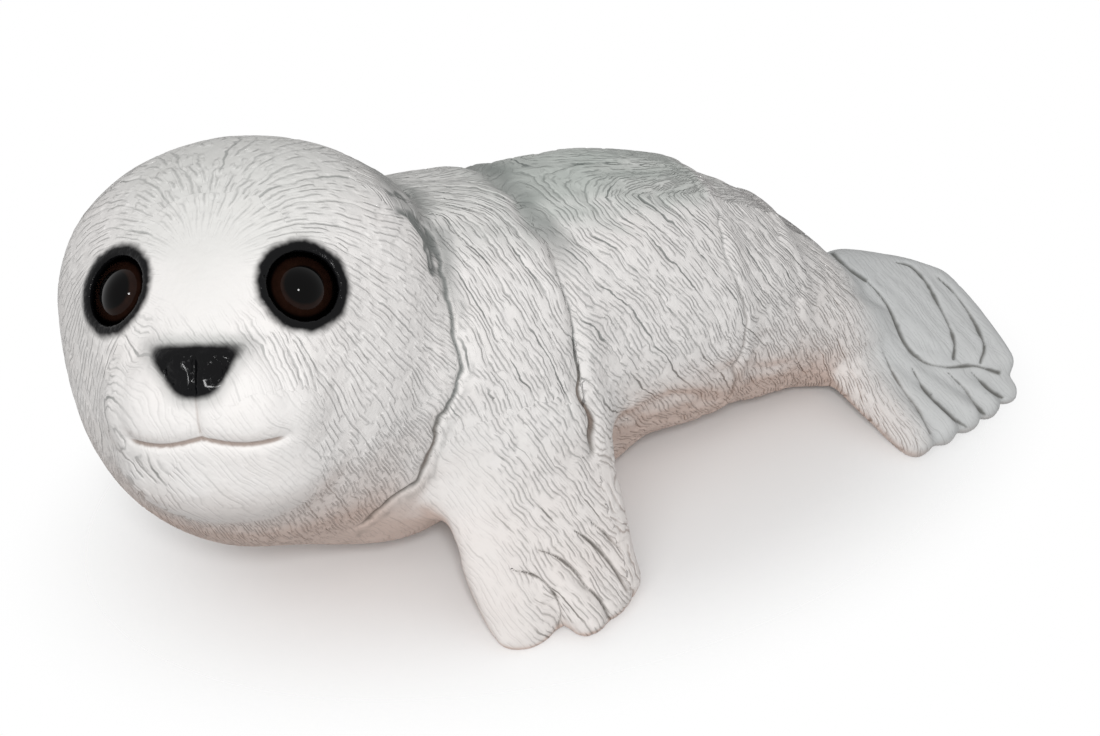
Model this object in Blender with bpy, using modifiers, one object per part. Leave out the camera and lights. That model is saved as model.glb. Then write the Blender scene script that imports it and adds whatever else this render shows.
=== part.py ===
"""A white seal pup figurine: one solid resin casting that lies on its belly, with two glass eyes.

Metres, +Z up. The origin is on the floor under the middle of the belly. The tail points along +Y,
the pup's left is +X, and the head is turned to its left and lifted.
"""

import math

import bmesh
import bpy
import numpy as np
from mathutils import Matrix, Vector

MM = 0.001

# Driving sizes of the torso
TORSO_LENGTH = 152 * MM
TORSO_WIDTH = 82 * MM
TORSO_HEIGHT = 82 * MM

# Driving sizes of the head
HEAD_WIDTH = 85 * MM
HEAD_HEIGHT = 87 * MM
HEAD_DEPTH = 85 * MM
NECK_REACH = 50 * MM
NECK_RISE = 17 * MM
NECK_SWING = 6 * MM
HEAD_TURN = math.radians(57)
HEAD_LIFT = math.radians(33)
HEAD_TILT = math.radians(4)
NOSE_WIDTH = 20 * MM
NOSE_HEIGHT = 12.5 * MM
NOSE_DROP = 3 * MM
MUZZLE_REACH = 1.09
MOUTH_WIDTH = 34 * MM
MOUTH_DROP = 19 * MM

# Driving sizes of the glass eyes and the lids round them
EYE_DIAMETER = 18 * MM
EYE_DOME = 6.5 * MM
EYE_BACK = 4.5 * MM
EYE_SPACING = 36.5 * MM
EYE_RISE = 10.5 * MM
EYE_STANDOFF = 3.6 * MM
EYE_CLEARANCE = 0.3 * MM
LID_OPENING = 14.6 * MM
LID_THICKNESS = 2.8 * MM
LID_HEIGHT = 2.9 * MM

# Driving sizes of the flippers
FORE_REACH = 54 * MM
FORE_WIDTH = 42 * MM
FORE_THICKNESS = 14 * MM
HIND_LENGTH = 46 * MM
HIND_THICKNESS = 11 * MM
TOES = 5
TOE_EDGES = (0, 0.46, 0.70, 0.85, 0.93, 1)
TOE_END = 0.6

# How softly the forms run together, and how deep the creases are
FLESH_BLEND = 14 * MM
FACE_BLEND = 8 * MM
LID_BLEND = 3 * MM
FOLD_BLEND = 2.5 * MM
TOE_BLEND = 2.5 * MM
FOLD_DEPTH = 1.8 * MM
FOLD_WIDTH = 1.9 * MM
TOE_CREASE_DEPTH = 1.0 * MM
TOE_CREASE_WIDTH = 1.3 * MM
MOUTH_CREASE_DEPTH = 0.9 * MM
MOUTH_CREASE_WIDTH = 1.3 * MM
GROOVE_REACH = 12 * MM
LIP_BOW = 1.5 * MM
WAVE_HEIGHT = 1.3 * MM
WAVE_LENGTH = 26 * MM
HAIR_SPACING = 12 * MM
HAIR_DEPTH = 0.8 * MM
HAIR_WIDTH = 1.1 * MM
CREASE_FADE = 4 * MM

# How steeply the hair falls round the neck and the trunk, per length, and how fast it levels out
NECK_FALL = 1.7
TRUNK_FALL = 0.85
FALL_LOSS = 0.5

# Where the neck, the trunk and the haunch end, as shares of the torso's length
SHOULDER = -0.10
HIP = 0.235
RUMP = 0.385

# How fine the surface is
ROUGH_VOXEL = 2.4 * MM
FINE_VOXEL = 1.25 * MM
BODY_TRIANGLES = 9500

RESIN_WHITE = (0.80, 0.79, 0.77, 1.0)
EYE_BROWN = (0.025, 0.010, 0.006, 1.0)

ACROSS = Vector((1, 0, 0))
ALONG = Vector((0, 1, 0))
UP = Vector((0, 0, 1))


# Places on the torso and in the head

def torso_place(along, aside, rise):
    """A point from shares of the torso's length, width and height."""
    return Vector((aside * TORSO_WIDTH, along * TORSO_LENGTH, rise * TORSO_HEIGHT))


NECK = torso_place(-0.21, 0.055, 0.585)
HEAD_CENTRE = NECK + Vector((NECK_SWING, -NECK_REACH, NECK_RISE))
FACE_FORWARD = Vector((
    math.sin(HEAD_TURN) * math.cos(HEAD_LIFT),
    -math.cos(HEAD_TURN) * math.cos(HEAD_LIFT),
    math.sin(HEAD_LIFT),
))
LEVEL_LEFT = Vector((math.cos(HEAD_TURN), math.sin(HEAD_TURN), 0))
FACE_LEFT = Matrix.Rotation(HEAD_TILT, 3, FACE_FORWARD) @ LEVEL_LEFT
FACE_UP = FACE_FORWARD.cross(FACE_LEFT)
FACE_AXES = (FACE_LEFT, FACE_UP, FACE_FORWARD)


def face_place(left, up, forward):
    """A point in the head, from lengths to the pup's left, to its crown and ahead."""
    return HEAD_CENTRE + FACE_LEFT * left + FACE_UP * up + FACE_FORWARD * forward


# Forms that the skin is stretched over

class Ball:
    """An ellipsoid, with its radii along three directions."""

    def __init__(self, centre, radii, axes):
        self.centre = np.array(centre)
        self.radii = np.array(radii, float)
        self.axes = np.array([list(axis) for axis in axes]).T

    def box(self):
        reach = self.radii.max()
        return self.centre - reach, self.centre + reach

    def distance(self, points):
        """Nearly the distance from each point to the surface, and the direction away from it."""
        return oval_distance((points - self.centre) @ self.axes, self.radii, self.axes)

    def balls(self):
        return [self]


class Limb:
    """A tube of oval section along a smooth curve, with blunt ends.

    A row is x, y, z, half width and half thickness. The width lies across. Where ahead is given,
    all sections face that way and the tube ends in a wavy edge.
    """

    def __init__(self, rows, across, pieces=6, ahead=None, bluntness=1.0):
        rows = np.array([spline(rows, i / pieces) for i in range(pieces + 1)])
        self.centres = rows[:, :3]
        self.sizes = np.stack([rows[:, 3], rows[:, 4] * bluntness, rows[:, 4]], axis=1)
        self.parallel = ahead is not None
        self.frames = []
        for a, b in zip(self.centres[:-1], self.centres[1:]):
            way = ahead or Vector(b - a).normalized()
            side = (across - way * across.dot(way)).normalized()
            self.frames.append(np.array([list(side), list(way), list(side.cross(way))]).T)

    def box(self):
        reach = self.sizes.max()
        return self.centres.min(axis=0) - reach, self.centres.max(axis=0) + reach

    def distance(self, points):
        best, direction = None, None
        for i, frame in enumerate(self.frames):
            a, b = self.centres[i], self.centres[i + 1]
            ahead = frame[:, 1]
            place = (points - a) @ ahead
            if self.parallel:
                place += wave(points)
            place /= (b - a) @ ahead
            share = np.clip(place, 0, 1)[:, None]
            radii = self.sizes[i] + share * (self.sizes[i + 1] - self.sizes[i])
            local = (points - (a + share * (b - a))) @ frame
            found, way = oval_distance(local, radii, frame)
            if self.parallel:
                last = i == len(self.frames) - 1
                found[(place < 0) & (i > 0) | (place > 1) & (not last)] = np.inf
            if best is None:
                best, direction = found, way
            else:
                closer = found < best
                best = np.where(closer, found, best)
                direction = np.where(closer[:, None], way, direction)
        return best, direction

    def balls(self):
        made = []
        for i, frame in enumerate(self.frames):
            a, b = self.centres[i], self.centres[i + 1]
            count = math.ceil(np.linalg.norm(b - a) / (0.7 * self.sizes[:, 1].min())) + 1
            for share in np.linspace(0, 1, count):
                size = self.sizes[i] + share * (self.sizes[i + 1] - self.sizes[i])
                made.append(Ball(a + share * (b - a), size, frame.T))
        return made


class Ring:
    """A round ring about the Z axis of a frame."""

    def __init__(self, frame, radius, thickness):
        self.radius, self.half = radius, thickness / 2
        self.centre = np.array(frame.translation)
        self.axes = np.array(frame.to_3x3())

    def box(self):
        reach = self.radius + self.half
        return self.centre - reach, self.centre + reach

    def distance(self, points):
        local = (points - self.centre) @ self.axes
        flat = np.maximum(np.hypot(local[:, 0], local[:, 1]), 1e-9)
        away = flat - self.radius
        gap = np.maximum(np.hypot(away, local[:, 2]), 1e-9)
        way = np.stack([local[:, 0] / flat * away, local[:, 1] / flat * away, local[:, 2]], axis=1)
        return gap - self.half, (way / gap[:, None]) @ self.axes.T

    def balls(self):
        return []


def oval_distance(local, radii, axes):
    scaled = local / radii
    slope = scaled / radii
    k0 = np.linalg.norm(scaled, axis=1)
    k1 = np.maximum(np.linalg.norm(slope, axis=1), 1e-9)
    return k0 * (k0 - 1) / k1, (slope / k1[:, None]) @ axes.T


def spline(rows, share):
    """The row at a share of the way along a smooth curve through the rows."""
    rows = np.array(rows, float)
    place = share * (len(rows) - 1)
    first = min(int(place), len(rows) - 2)
    t = place - first
    a, b = rows[first], rows[first + 1]
    before, after = rows[max(first - 1, 0)], rows[min(first + 2, len(rows) - 1)]
    return 0.5 * (
        2 * a + (b - before) * t + (2 * before - 5 * a + 4 * b - after) * t**2
        + (3 * a - before - 3 * b + after) * t**3
    )


def row(place, wide, thick):
    return (*place, wide, thick)


def wave(points):
    """A slow wave over the torso, which keeps its folds and hair from running dead straight."""
    turns = math.tau / WAVE_LENGTH
    swing = points[:, 2] * turns + 1.7 * np.sin(points[:, 0] * turns * 0.8)
    return WAVE_HEIGHT * (np.sin(swing) + 0.4 * np.sin(2.3 * swing + points[:, 1] * turns))


# The head

def face_ball(left, up, forward, wide, tall, deep):
    """An ellipsoid square to the face, all as shares of the head's half sizes."""
    w, h, d = HEAD_WIDTH / 2, HEAD_HEIGHT / 2, HEAD_DEPTH / 2
    return Ball(face_place(left * w, up * h, forward * d), (wide * w, tall * h, deep * d), FACE_AXES)


def head_forms():
    forms = [
        (face_ball(0, 0.05, 0, 0.94, 0.92, 1.0), FOLD_BLEND),
        (face_ball(0, 0.34, -0.04, 0.965, 0.665, 0.86), FLESH_BLEND),
        (face_ball(0, -0.30, 0.04, 0.74, 0.70, 0.82), FLESH_BLEND),
        (face_ball(0, -0.08, -0.30, 0.90, 0.86, 0.90), FLESH_BLEND),
        (face_ball(0, -0.02, 0.82, 0.26, 0.34, 0.24), FLESH_BLEND),
        (face_ball(0, -0.26, 0.78, 0.44, 0.34, 0.34), FLESH_BLEND),
        (face_ball(0, -0.60, 0.70, 0.46, 0.21, 0.27), FACE_BLEND),
    ]
    for side in (-1, 1):
        forms.append((face_ball(side * 0.19, -0.28, 0.90, 0.26, 0.20, 0.22), FACE_BLEND))
    return forms


def nose_forms():
    """The leather of the nose: a wide top with a lobe over each nostril, narrowing downwards."""
    wide, tall = NOSE_WIDTH / 2, NOSE_HEIGHT / 2
    reach = HEAD_DEPTH / 2 * MUZZLE_REACH
    foot = face_place(0, -NOSE_DROP - tall * 0.8, reach)
    forms = [(Ball(foot, (wide * 0.5, tall * 0.8, tall), FACE_AXES), LID_BLEND)]
    for side in (-1, 1):
        lobe = face_place(side * wide * 0.45, -NOSE_DROP - tall * 0.1, reach)
        forms.append((Ball(lobe, (wide * 0.55, tall * 0.62, tall), FACE_AXES), LID_BLEND))
    return forms


def eye_frame(side):
    """The eye's place, with +Z out along its axis. Its dome starts at z = 0."""
    reach = HEAD_DEPTH / 2
    left = side * EYE_SPACING / 2
    forward = math.sqrt(reach**2 - left**2 - EYE_RISE**2)
    out = Vector((left, EYE_RISE, forward)).normalized()
    seat = reach + EYE_STANDOFF - EYE_DOME
    axis = FACE_LEFT * out.x + FACE_UP * out.y + FACE_FORWARD * out.z
    turn = axis.to_track_quat("Z", "Y").to_matrix().to_4x4()
    return Matrix.Translation(face_place(*(out * seat))) @ turn


def lid_forms():
    """A low mound round each eye, and the ring of its lids on top."""
    ring = (LID_OPENING + LID_THICKNESS) / 2
    forms = []
    for side in (-1, 1):
        frame = eye_frame(side)
        base = frame @ Vector((0, 0, -LID_HEIGHT))
        mound = Ball(base, (1.3 * ring, 1.3 * ring, 2.2 * LID_HEIGHT), frame.to_3x3().transposed())
        lift = Matrix.Translation((0, 0, LID_HEIGHT))
        forms += [(mound, FACE_BLEND), (Ring(frame @ lift, ring, LID_THICKNESS), LID_BLEND)]
    return forms


# The torso: four masses that overlap in folds

TAIL_ROOT = torso_place(0.53, 0.055, 0.25)


def torso_forms():
    w, h = TORSO_WIDTH, TORSO_HEIGHT
    level = (ACROSS, ALONG, UP)
    belly = Ball(torso_place(-0.08, 0.01, 0.27), (w * 0.36, TORSO_LENGTH * 0.26, h * 0.31), level)
    throat = Ball(torso_place(-0.37, 0.16, 0.42), (w * 0.34, w * 0.34, h * 0.33), level)
    mantle = [
        row(HEAD_CENTRE.lerp(NECK, 0.45), w * 0.44, h * 0.455),
        row(NECK, w * 0.485, h * 0.50),
        row(torso_place(SHOULDER + 0.01, 0.02, 0.52), w * 0.475, h * 0.505),
    ]
    trunk = [
        row(torso_place(SHOULDER, 0.015, 0.535), w * 0.44, h * 0.495),
        row(torso_place(0.06, -0.01, 0.54), w * 0.44, h * 0.485),
        row(torso_place(HIP, -0.012, 0.485), w * 0.41, h * 0.445),
    ]
    haunch = [
        row(torso_place(HIP - 0.05, -0.012, 0.50), w * 0.40, h * 0.43),
        row(torso_place(0.30, -0.014, 0.45), w * 0.365, h * 0.40),
        row(torso_place(RUMP, -0.01, 0.39), w * 0.33, h * 0.36),
    ]
    tail = [
        row(torso_place(RUMP - 0.03, -0.01, 0.40), w * 0.33, h * 0.36),
        row(torso_place(0.45, 0.005, 0.33), w * 0.285, h * 0.305),
        row(TAIL_ROOT, w * 0.24, h * 0.245),
        row(torso_place(0.62, 0.14, 0.17), w * 0.17, h * 0.13),
    ]
    return [
        (throat, FLESH_BLEND),
        (belly, FLESH_BLEND),
        (Limb(mantle, ACROSS, ahead=ALONG, bluntness=0.30), FOLD_BLEND),
        (Limb(trunk, ACROSS, ahead=ALONG, bluntness=0.30), FOLD_BLEND),
        (Limb(haunch, ACROSS, ahead=ALONG, bluntness=0.35), FOLD_BLEND),
        (Limb(tail, ACROSS, ahead=ALONG, bluntness=0.6), FOLD_BLEND),
    ]


# Fore flippers

def fore_place(side, out, back, rise):
    """A point from shares of the flipper's reach, of its width and of the shoulder's height."""
    root = torso_place(-0.20, 0.225, 0.62)
    return Vector((side * (root.x + out * FORE_REACH), root.y + back * FORE_WIDTH, rise * root.z))


def fore_edge(fan):
    """How far the flipper reaches, from -1 at its leading edge to 1 at its trailing edge."""
    return 0.985 - 0.27 * fan**2


def fore_toe(side, toe):
    """The knuckle, the tip and the half width of one toe, with the toes fanned over the flipper's end."""
    lead, trail = TOE_EDGES[toe], TOE_EDGES[toe + 1]
    fan = lead + trail - 1
    half = 0.47 * (trail - lead) * FORE_WIDTH
    out = fore_edge(fan) - TOE_END * half / FORE_REACH
    tip = fore_place(side, out, 0.46 * fan, 0)
    tip.z = 0.26 * FORE_THICKNESS
    knuckle = fore_place(side, out - 0.22, 0.42 * fan - 0.03, 0.27)
    return knuckle, tip, half


def fore_forms(side):
    wide, thick = FORE_WIDTH, FORE_THICKNESS
    rows = [
        row(fore_place(side, 0.00, -0.02, 1.00), wide * 0.50, thick * 1.05),
        row(fore_place(side, 0.25, 0.02, 0.80), wide * 0.49, thick * 0.85),
        row(fore_place(side, 0.46, 0.02, 0.54), wide * 0.52, thick * 0.60),
        row(fore_place(side, 0.62, 0.01, 0.33), wide * 0.51, thick * 0.45),
        row(fore_place(side, 0.74, 0.00, 0.19), wide * 0.46, thick * 0.36),
    ]
    arm = [
        row(fore_place(side, -0.05, 0.10, 1.15), wide * 0.60, thick * 1.1),
        row(fore_place(side, 0.20, 0.02, 0.80), wide * 0.52, thick * 0.95),
    ]
    forms = [
        (Limb(arm, ALONG, pieces=2, bluntness=1.3), FLESH_BLEND),
        (Limb(rows, ALONG, pieces=8, bluntness=1.3), FLESH_BLEND / 2),
    ]
    for toe in range(TOES):
        knuckle, tip, half = fore_toe(side, toe)
        high = thick * 0.28
        half = max(half, high)
        toe_rows = [row(knuckle, half, high), row(tip, half * 0.95, high)]
        toe_form = Limb(toe_rows, ALONG, pieces=1, bluntness=TOE_END * half / high)
        forms.append((toe_form, 2 * TOE_BLEND))
    return forms


# Hind flippers

def hind_toe(upper, toe):
    """Three points along one toe of a hind flipper, both of which sweep round to the left."""
    fan = toe / (TOES - 1)
    if upper:
        root = TAIL_ROOT + Vector((-0.05 - 0.12 * fan, 0.12 + 0.16 * fan, 0.10)) * HIND_LENGTH
        bend = root + Vector((0.20 + 0.02 * fan, 0.26 + 0.28 * fan, -0.10)) * HIND_LENGTH
        tip = TAIL_ROOT + Vector((0.52 + 0.16 * fan, 0.50 + 0.36 * fan, 0)) * HIND_LENGTH
        tip.z = 1.05 * HIND_THICKNESS
    else:
        root = TAIL_ROOT + Vector((0.05, 0.02 + 0.10 * fan, -0.12)) * HIND_LENGTH
        bend = TAIL_ROOT + Vector((0.50, 0.02 + 0.46 * fan, -0.20)) * HIND_LENGTH
        bend.z = 0.9 * HIND_THICKNESS
        tip = TAIL_ROOT + Vector((0.90 - 0.12 * fan * fan, 0.06 + 0.77 * fan, 0)) * HIND_LENGTH
        tip.z = 0.42 * HIND_THICKNESS
    return root, bend, tip


def hind_forms(upper):
    forms = []
    thick, wide = HIND_THICKNESS / 2, HIND_LENGTH * 0.10
    for toe in range(TOES):
        root, bend, tip = hind_toe(upper, toe)
        size = 1.15 - 0.3 * toe / (TOES - 1)
        rows = [
            row(root, wide * 1.7, thick * 1.7),
            row(bend, wide * 1.25 * size, thick * 1.1),
            row(tip, wide * size, thick * 0.9 * size),
        ]
        forms.append((Limb(rows, ALONG, pieces=6), TOE_BLEND))
    return forms


def pup_forms():
    forms = head_forms() + nose_forms() + lid_forms() + torso_forms()
    forms += fore_forms(-1) + fore_forms(1) + hind_forms(False) + hind_forms(True)
    return forms


# The skin over the forms

def skin_distance(points, forms):
    """Every form is added in turn with a soft union, worked out only where it comes near."""
    distance = np.full(len(points), 1.0)
    direction = np.zeros_like(points)
    for form, blend in forms:
        low, high = form.box()
        margin = blend + 2 * ROUGH_VOXEL
        near = np.all((points > low - margin) & (points < high + margin), axis=1)
        new, way = form.distance(points[near])
        old, old_way = distance[near], direction[near]
        share = np.clip(0.5 + 0.5 * (new - old) / blend, 0, 1)
        distance[near] = new + (old - new) * share - blend * share * (1 - share)
        direction[near] = way + (old_way - way) * share[:, None]
    return distance, direction


def vertex_places(mesh):
    points = np.empty(len(mesh.vertices) * 3)
    mesh.vertices.foreach_get("co", points)
    return points.reshape(-1, 3)


def place_vertices(mesh, points):
    mesh.vertices.foreach_set("co", points.ravel())
    mesh.update()


def settle(mesh, forms, rounds):
    """Moves every vertex of the mesh on to the skin."""
    points = vertex_places(mesh)
    for _ in range(rounds):
        distance, direction = skin_distance(points, forms)
        steepness = np.maximum((direction**2).sum(axis=1), 0.25)
        step = np.clip(distance / steepness, -ROUGH_VOXEL, ROUGH_VOXEL)
        points -= direction * step[:, None]
    place_vertices(mesh, points)


# Creases pressed into the skin

def groove(points, normals, path, view, width):
    """The share of its depth at which a groove along a path sinks each vertex.

    The path is pressed in against the view direction, on the side that faces it.
    """
    view = np.array(view)
    path = np.array([list(p) for p in path])
    nearest = np.full(len(points), np.inf)
    for a, b in zip(path[:-1], path[1:]):
        along = b - a
        flat = along - view * (along @ view)
        share = np.clip(((points - a) @ flat) / (flat @ flat), 0, 1)
        off = points - (a + share[:, None] * along)
        high = off @ view
        gap = np.linalg.norm(off - high[:, None] * view, axis=1)
        gap[np.abs(high) > GROOVE_REACH] = np.inf
        nearest = np.minimum(nearest, gap)
    facing = np.clip(normals @ view / 0.3, 0, 1)
    return facing * np.exp(-(nearest / width) ** 2)


def toe_paths():
    for side in (-1, 1):
        view = Vector((side, 0, 1)).normalized()
        for toe in range(TOES - 1):
            fan = 2 * TOE_EDGES[toe + 1] - 1
            start = fore_place(side, 0.62, 0.47 * fan - 0.20, 0.26)
            end = fore_place(side, fore_edge(fan) + 0.02, 0.47 * fan + 0.02, 0)
            yield [start, start.lerp(end, 0.5), end], view
    for upper in (False, True):
        for toe in range(TOES - 1):
            pairs = zip(hind_toe(upper, toe), hind_toe(upper, toe + 1))
            root, bend, tip = [(a + b) / 2 for a, b in pairs]
            yield [bend.lerp(root, 0.3), bend, tip.lerp(bend, -0.2)], UP


def face_grooves():
    """Each crease of the face: its path, and its depth and width as shares of the mouth's."""
    half, drop, ahead = MOUTH_WIDTH / 2, -MOUTH_DROP, HEAD_DEPTH / 2
    beside = 0.44 * HEAD_DEPTH
    lip = [
        face_place(share * half, drop - LIP_BOW * abs(math.sin(math.pi * share)), beside)
        for share in np.linspace(-1, 1, 13)
    ]
    nose_top, nose_half = -NOSE_DROP + NOSE_HEIGHT * 0.3, NOSE_WIDTH / 2
    parting = [face_place(0, nose_top - NOSE_HEIGHT * 0.4, ahead), face_place(0, drop, ahead)]
    grooves = [(lip, 1.0, 1.0), (parting, 1.0, 0.8)]
    for side in (-1, 1):
        cheek = [
            face_place(side * half * 0.66, -drop * 0.09, beside),
            face_place(side * half * 0.91, drop * 0.29, beside),
            face_place(side * half * 1.03, drop * 0.61, beside),
            face_place(side * half * 1.02, drop * 0.80, beside),
        ]
        nostril = [
            face_place(side * nose_half * 0.30, nose_top - NOSE_HEIGHT * 0.62, ahead),
            face_place(side * nose_half * 0.66, nose_top - NOSE_HEIGHT * 0.42, ahead),
        ]
        grooves += [(cheek, 0.6, 1.5), (nostril, 1.0, 0.8)]
    return grooves


def fold_planes():
    """Where each mass of the torso ends over the next: a point, a direction, the fold's reach and depth."""
    neck = (NECK - HEAD_CENTRE).normalized()
    return [
        (HEAD_CENTRE + neck * HEAD_DEPTH * 0.34, neck, HEAD_WIDTH * 0.52, 0.7),
        (torso_place(SHOULDER, 0.02, 0.52), ALONG, TORSO_WIDTH * 0.60, 1.0),
        (torso_place(HIP, -0.012, 0.44), ALONG, TORSO_WIDTH * 0.50, 0.5),
        (torso_place(RUMP, 0.01, 0.34), ALONG, TORSO_WIDTH * 0.42, 0.3),
    ]


def hair_lines(points):
    """1 in the middle of each long crease in the torso's fur, falling to 0 beside it.

    The creases run back and down from the spine: steeply on the neck and ever more level towards
    the tail. They are level lines of the way round the torso less the way that the hair has fallen.
    """
    middle = torso_place(0, 0, 0.45)
    angle = np.abs(np.arctan2(points[:, 0] - middle.x, points[:, 2] - middle.z))
    round_torso = angle * TORSO_WIDTH / 2
    past = points[:, 1] / TORSO_LENGTH - SHOULDER
    fallen = np.where(past < 0, NECK_FALL * past, TRUNK_FALL * past - FALL_LOSS * past**2)
    level = np.clip(round_torso / HAIR_SPACING, 0, 1)
    place = (round_torso - fallen * TORSO_LENGTH * level + 1.5 * wave(points)) / HAIR_SPACING
    off = np.abs(place - np.round(place)) * HAIR_SPACING
    head_gap = np.linalg.norm(points - np.array(HEAD_CENTRE), axis=1) - 0.575 * HEAD_WIDTH
    fold_gaps = [np.abs(points[:, 1] - fold * TORSO_LENGTH) for fold in (SHOULDER, HIP)]
    inside = np.minimum.reduce([
        head_gap,
        RUMP * TORSO_LENGTH - points[:, 1],
        0.56 * TORSO_WIDTH - np.abs(points[:, 0]),
        points[:, 2] - 0.20 * TORSO_HEIGHT,
        *fold_gaps,
    ])
    return np.clip(inside / CREASE_FADE, 0, 1) * np.exp(-(off / HAIR_WIDTH) ** 2)


def carve(mesh):
    points = vertex_places(mesh)
    normals = np.empty(len(mesh.vertices) * 3)
    mesh.vertex_normals.foreach_get("vector", normals)
    normals = normals.reshape(-1, 3)
    depth = HAIR_DEPTH * hair_lines(points)
    for centre, way, reach, share in fold_planes():
        off = points - np.array(centre)
        near = np.clip((reach - np.linalg.norm(off, axis=1)) / CREASE_FADE, 0, 1)
        past = (off @ np.array(way) + wave(points)) / FOLD_WIDTH
        depth = np.maximum(depth, share * FOLD_DEPTH * near * np.exp(-past**2))
    for path, view in toe_paths():
        depth += TOE_CREASE_DEPTH * groove(points, normals, path, view, TOE_CREASE_WIDTH)
    for path, deep, wide in face_grooves():
        width = wide * MOUTH_CREASE_WIDTH
        depth += deep * MOUTH_CREASE_DEPTH * groove(points, normals, path, FACE_FORWARD, width)
    place_vertices(mesh, points - normals * depth[:, None])


# Objects

def clear_scene():
    for obj in list(bpy.data.objects):
        bpy.data.objects.remove(obj)


def collection(name):
    made = bpy.data.collections.new(name)
    bpy.context.scene.collection.children.link(made)
    return made


def material(name, colour, roughness):
    made = bpy.data.materials.new(name)
    made.use_nodes = True
    shader = made.node_tree.nodes["Principled BSDF"]
    shader.inputs["Base Color"].default_value = colour
    shader.inputs["Roughness"].default_value = roughness
    return made


def add_object(name, mesh, home, finish=None):
    obj = bpy.data.objects.new(name, mesh)
    home.objects.link(obj)
    if finish:
        mesh.materials.append(finish)
    return obj


def clay(forms):
    """A stretched ball for every form, all in one mesh that the skin starts from."""
    bm = bmesh.new()
    bmesh.ops.create_icosphere(bm, subdivisions=2, radius=1)
    unit = np.array([list(vert.co) for vert in bm.verts])
    corners = np.array([[vert.index for vert in face.verts] for face in bm.faces])
    bm.free()
    balls = [ball for form, _ in forms for ball in form.balls()]
    points = np.concatenate([ball.centre + (unit * ball.radii) @ ball.axes.T for ball in balls])
    faces = np.concatenate([corners + i * len(unit) for i in range(len(balls))])
    mesh = bpy.data.meshes.new("clay")
    mesh.from_pydata(points.tolist(), [], faces.tolist())
    return mesh


def fused(mesh, voxel, home):
    """The mesh with everything that overlaps fused into one skin of even faces."""
    source = add_object("clay", mesh, home)
    remesh = source.modifiers.new("fuse", "REMESH")
    remesh.mode = "VOXEL"
    remesh.voxel_size = voxel
    graph = bpy.context.evaluated_depsgraph_get()
    made = bpy.data.meshes.new_from_object(source.evaluated_get(graph))
    bpy.data.objects.remove(source)
    return made


def eye_profile(grow):
    """The glass eye's outline from the top of its dome down its outer side, grown all round."""
    radius, dome, back = EYE_DIAMETER / 2 + grow, EYE_DOME + grow, EYE_BACK + grow
    corner = back * 0.4
    quarter = math.pi / 2
    dome_steps, corner_steps = 7, 2
    points = []
    for i in range(dome_steps + 1):
        angle = quarter * i / dome_steps
        points.append((radius * math.sin(angle), dome * math.cos(angle)))
    for i in range(corner_steps + 1):
        angle = quarter * i / corner_steps
        points.append((radius - corner * (1 - math.cos(angle)), corner * (1 - math.sin(angle)) - back))
    return points + [(0, -back)]


def socket_profile():
    """The eye's outline grown by the clearance, with a round bore between the lids in front of it."""
    grown = eye_profile(EYE_CLEARANCE)
    bore, top = LID_OPENING / 2, EYE_DOME + 2 * LID_HEIGHT
    foot = grown[0][1] * math.sqrt(1 - (bore / (EYE_DIAMETER / 2 + EYE_CLEARANCE)) ** 2)
    seat = [(x, z) for x, z in grown if x > bore or z < 0]
    return [(0, top), (bore, top), (bore, foot)] + seat


def turned(name, outline, frame, home, finish=None):
    bm = bmesh.new()
    verts = [bm.verts.new((x, 0, z)) for x, z in outline]
    for a, b in zip(verts[:-1], verts[1:]):
        bm.edges.new((a, b))
    mesh = bpy.data.meshes.new(name)
    bm.to_mesh(mesh)
    bm.free()
    obj = add_object(name, mesh, home, finish)
    obj.matrix_world = frame
    screw = obj.modifiers.new("turn", "SCREW")
    screw.steps = screw.render_steps = 24
    screw.use_merge_vertices = True
    screw.merge_threshold = 0.01 * MM
    screw.use_smooth_shade = True
    return obj


def cut(body, cutter, name):
    cutter.hide_render = True
    cutter.display_type = "WIRE"
    boolean = body.modifiers.new(name, "BOOLEAN")
    boolean.operation = "DIFFERENCE"
    boolean.object = cutter


def add_detail_group(body):
    """The lids, the nose and the mouth, whose vertices are spared when the skin is thinned out."""
    group = body.vertex_groups.new(name="face")
    points = vertex_places(body.data)
    eyes = [np.linalg.norm(points - np.array(eye_frame(side).translation), axis=1) for side in (-1, 1)]
    near = np.minimum(*eyes) < 0.72 * EYE_DIAMETER
    muzzle = face_place(0, -0.66 * MOUTH_DROP, 0.44 * HEAD_DEPTH)
    off = (points - np.array(muzzle)) @ np.array([list(axis) for axis in FACE_AXES]).T
    near |= np.linalg.norm(off / (0.68 * MOUTH_WIDTH, 0.80 * MOUTH_DROP, MOUTH_DROP), axis=1) < 1
    group.add(np.flatnonzero(near).tolist(), 1.0, "REPLACE")
    return group


def add_floor_cutter(home):
    """Everything under the floor is ground away, which leaves the flats that the pup rests on."""
    size = 4 * TORSO_LENGTH
    bm = bmesh.new()
    bmesh.ops.create_cube(bm, size=size, matrix=Matrix.Translation((0, 0, -size / 2)))
    mesh = bpy.data.meshes.new("floor_cutter")
    bm.to_mesh(mesh)
    bm.free()
    return add_object("floor_cutter", mesh, home)


def add_body(home, cutters, finish):
    forms = pup_forms()
    mesh = fused(clay(forms), ROUGH_VOXEL, cutters)
    settle(mesh, forms, 5)
    mesh = fused(mesh, FINE_VOXEL, cutters)
    settle(mesh, forms, 3)
    carve(mesh)
    mesh.name = "body"
    mesh.shade_smooth()
    body = add_object("body", mesh, home, finish)
    decimate = body.modifiers.new("facets", "DECIMATE")
    decimate.ratio = BODY_TRIANGLES / (2 * len(mesh.polygons))
    decimate.vertex_group = add_detail_group(body).name
    decimate.invert_vertex_group = True
    cut(body, add_floor_cutter(cutters), "ground flat")
    return body


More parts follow.
